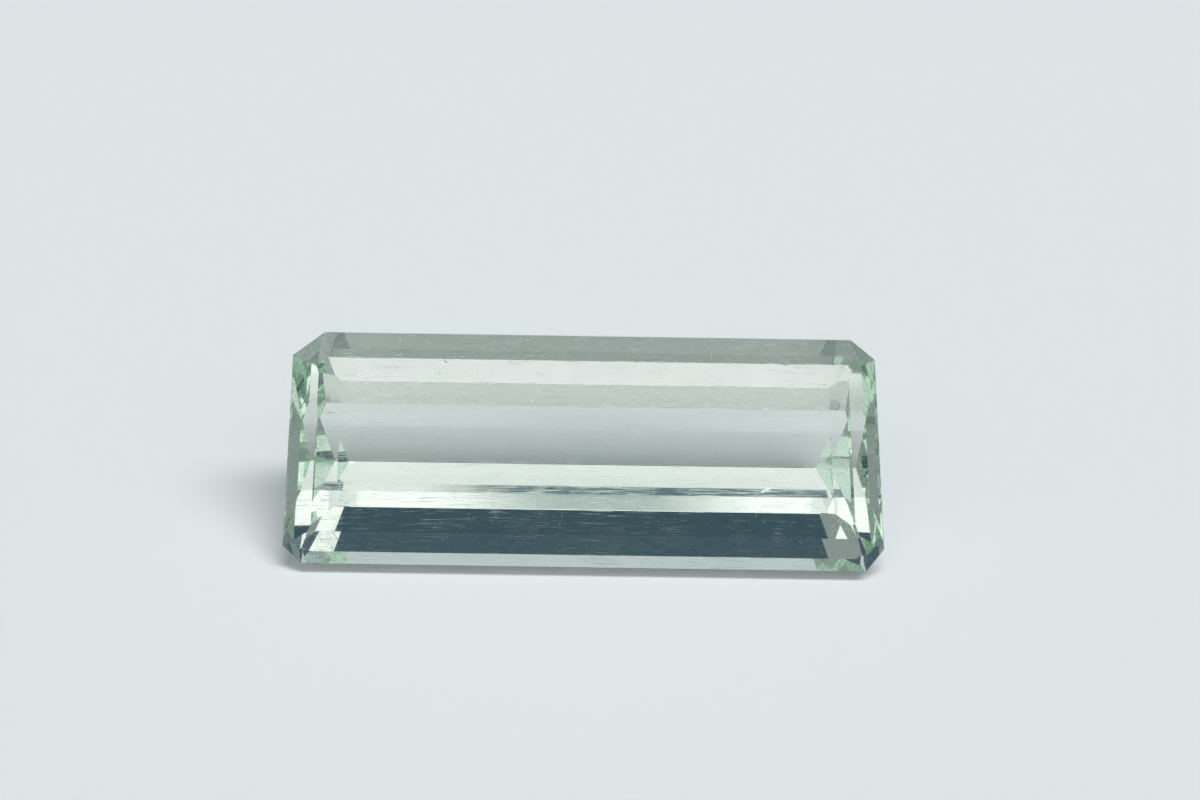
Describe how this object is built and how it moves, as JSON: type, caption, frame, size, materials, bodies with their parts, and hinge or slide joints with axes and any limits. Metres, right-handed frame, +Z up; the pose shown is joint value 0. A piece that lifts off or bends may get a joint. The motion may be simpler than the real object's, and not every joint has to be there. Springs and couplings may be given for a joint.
{
  "type": "step cut beryl crystal",
  "caption": "Clear pale green beryl crystal, step cut as a long octagon with a flat table and a keel, lying on one pavilion facet.",
  "frame": {"origin": "on the surface that the crystal rests on, below the centre of its bounding box", "axes": "+X runs along the crystal's length, +Z is up, and -Y is the side that the table leans towards and that the picture shows"},
  "size_m": [0.0408, 0.0124, 0.0128],
  "materials": {
    "beryl": "clear pale green crystal with polished flat facets, lightly worn facet edges and fine surface scratches"
  },
  "bodies": {
    "root": {"beryl_crystal": "beryl"}
  },
  "joints": []
}
